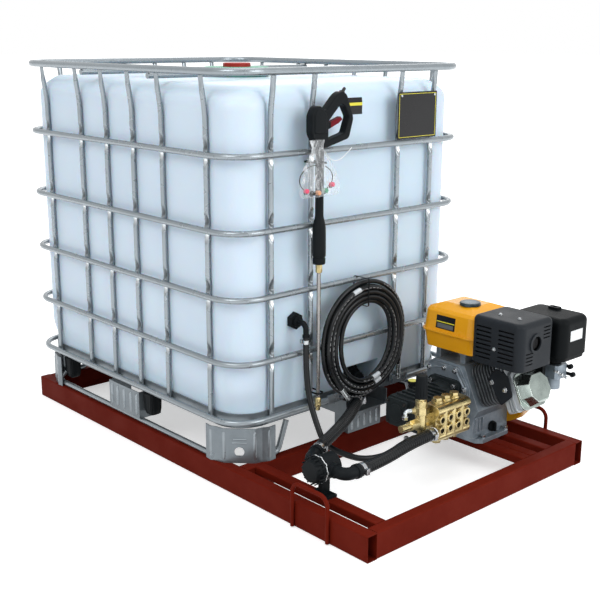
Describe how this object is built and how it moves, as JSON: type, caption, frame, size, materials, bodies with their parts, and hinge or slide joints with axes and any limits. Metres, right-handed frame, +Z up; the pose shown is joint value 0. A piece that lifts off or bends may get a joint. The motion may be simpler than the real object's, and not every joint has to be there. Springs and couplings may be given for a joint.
{
  "type": "skid-mounted pressure washer",
  "caption": "Skid frame with a caged plastic water tank, a petrol engine driving a plunger pump, a suction filter, a coiled hose and a spray gun on its lance.",
  "frame": {"origin": "on the floor under the middle of the footprint", "axes": "+X along the skid from the tank to the engine end, +Y across the skid to the starter side, +Z up"},
  "size_m": [1.7235, 1.001, 1.236],
  "materials": {
    "skid_paint": "satin red-oxide paint",
    "galvanised": "galvanised",
    "tank_plastic": "translucent natural plastic",
    "lid_green": "moulded",
    "vent_red": "moulded",
    "black_plastic": "moulded",
    "black_rubber": "moulded",
    "cast_alloy": "as cast",
    "zinc": "bright zinc",
    "tank_yellow": "gloss paint",
    "cap_grey": "moulded",
    "cover_charcoal": "heat-proof satin paint",
    "pump_black": "satin paint",
    "brass": "machined",
    "steel": "plated",
    "iron": "as cast",
    "bag_clear": "clear film",
    "nozzle_mix": "coloured plastic"
  },
  "bodies": {
    "skid": {"side_rails": "skid_paint", "cross_rails": "skid_paint", "lifting_loops": "skid_paint", "pallet_tray": "galvanised", "pallet_legs": "galvanised", "pallet_runners": "galvanised", "leg_spacers": "black_plastic", "cage_hoops": "galvanised", "cage_base_rail": "galvanised", "cage_top_rail": "galvanised", "cage_uprights": "galvanised", "tote_bottle": "tank_plastic", "valve_body": "black_plastic", "pipe_elbows": "black_plastic", "engine_crankcase": "cast_alloy", "cylinder": "cast_alloy", "rocker_cover": "zinc", "fuel_tank": "tank_yellow", "muffler": "steel", "muffler_cover": "cover_charcoal", "air_cleaner_base": "black_plastic", "air_cleaner_cover": "black_plastic", "carburettor": "cast_alloy", "fan_shroud": "tank_yellow", "starter_cover": "cover_charcoal", "pump_crankcase": "pump_black", "pump_end_cover": "pump_black", "pump_head": "brass", "pump_head_plugs": "brass", "unloader_body": "brass", "relief_elbow": "steel", "filter_head": "black_plastic", "suction_hose_tank": "black_rubber", "suction_hose_pump": "black_rubber", "bypass_hose": "black_rubber", "bypass_fitting": "black_plastic", "hose_clamps": "steel", "fasteners": "steel", "gun_body": "black_plastic", "lance": "steel", "pressure_hose": "black_rubber", "hose_ferrules": "steel", "nozzle_set": "nozzle_mix", "nozzle_bag": "bag_clear", "cable_ties": "black_plastic"},
    "tote_lid_body": {"tote_lid": "lid_green"},
    "vent_cap_body": {"vent_cap": "vent_red"},
    "valve_lever_body": {"valve_lever": "black_plastic"},
    "fuel_cap_body": {"fuel_cap": "cap_grey"},
    "choke_lever_body": {"choke_lever": "black_plastic"},
    "fuel_lever_body": {"fuel_lever": "black_plastic"},
    "throttle_lever_body": {"throttle_lever": "black_plastic"},
    "flywheel_body": {"flywheel": "iron"},
    "starter_grip_body": {"starter_grip": "black_plastic"},
    "stop_switch_body": {"stop_switch": "black_plastic"},
    "oil_dipstick_body": {"oil_dipstick": "black_plastic"},
    "unloader_knob_body": {"unloader_knob": "black_plastic"},
    "pump_oil_cap_body": {"pump_oil_cap": "black_plastic"},
    "filter_bowl_body": {"filter_bowl": "black_plastic"},
    "gun_trigger_body": {"gun_trigger": "black_plastic"}
  },
  "joints": [
    {"name": "lid_turn", "type": "hinge", "parent": "skid", "child": "tote_lid_body", "pos_m": [-0.26175, 0, 1.205], "axis": [0, 0, 1], "continuous": true},
    {"name": "vent_turn", "type": "hinge", "parent": "tote_lid_body", "child": "vent_cap_body", "pos_m": [-0.26175, 0, 1.218], "axis": [0, 0, 1], "continuous": true},
    {"name": "valve_turn", "type": "hinge", "parent": "skid", "child": "valve_lever_body", "pos_m": [0.24425, 0.055, 0.27], "axis": [0, 0, 1], "range_deg": [0, 90]},
    {"name": "fuel_cap_turn", "type": "hinge", "parent": "skid", "child": "fuel_cap_body", "pos_m": [0.56925, 0.26, 0.504], "axis": [0, 0, 1], "continuous": true},
    {"name": "choke_turn", "type": "hinge", "parent": "skid", "child": "choke_lever_body", "pos_m": [0.78425, 0.455, 0.318], "axis": [0, -1, 0], "range_deg": [0, 60]},
    {"name": "fuel_tap_turn", "type": "hinge", "parent": "skid", "child": "fuel_lever_body", "pos_m": [0.78425, 0.455, 0.294], "axis": [0, 1, 0], "range_deg": [0, 60]},
    {"name": "throttle_turn", "type": "hinge", "parent": "skid", "child": "throttle_lever_body", "pos_m": [0.59625, 0.428, 0.321], "axis": [0, 1, 0], "range_deg": [0, 40]},
    {"name": "crank_turn", "type": "hinge", "parent": "skid", "child": "flywheel_body", "pos_m": [0.53625, 0.197, 0.209], "axis": [0, 1, 0], "continuous": true},
    {"name": "starter_pull", "type": "slide", "parent": "skid", "child": "starter_grip_body", "axis": [0, 0, 1], "range_m": [0, 0.12], "stiffness_N_per_m": 60},
    {"name": "stop_turn", "type": "hinge", "parent": "skid", "child": "stop_switch_body", "pos_m": [0.65425, 0.428, 0.239], "axis": [0, 1, 0], "range_deg": [0, 60]},
    {"name": "dipstick_turn", "type": "hinge", "parent": "skid", "child": "oil_dipstick_body", "pos_m": [0.64825, 0.301, 0.111], "axis": [1, 0, 0], "continuous": true},
    {"name": "pressure_turn", "type": "hinge", "parent": "skid", "child": "unloader_knob_body", "pos_m": [0.64625, -0.048, 0.3], "axis": [0, 0, 1], "range_deg": [0, 720]},
    {"name": "pump_cap_turn", "type": "hinge", "parent": "skid", "child": "pump_oil_cap_body", "pos_m": [0.50325, 0.075, 0.26], "axis": [0, 0, 1], "continuous": true},
    {"name": "bowl_turn", "type": "hinge", "parent": "skid", "child": "filter_bowl_body", "pos_m": [0.60325, -0.42, 0.16], "axis": [0, 1, 0], "continuous": true},
    {"name": "trigger_pull", "type": "hinge", "parent": "skid", "child": "gun_trigger_body", "pos_m": [0.35885, -0.188, 1.062], "axis": [1, 0, 0], "range_deg": [0, 14], "stiffness_Nm_per_rad": 1.5, "springref_deg": -11.46}
  ]
}
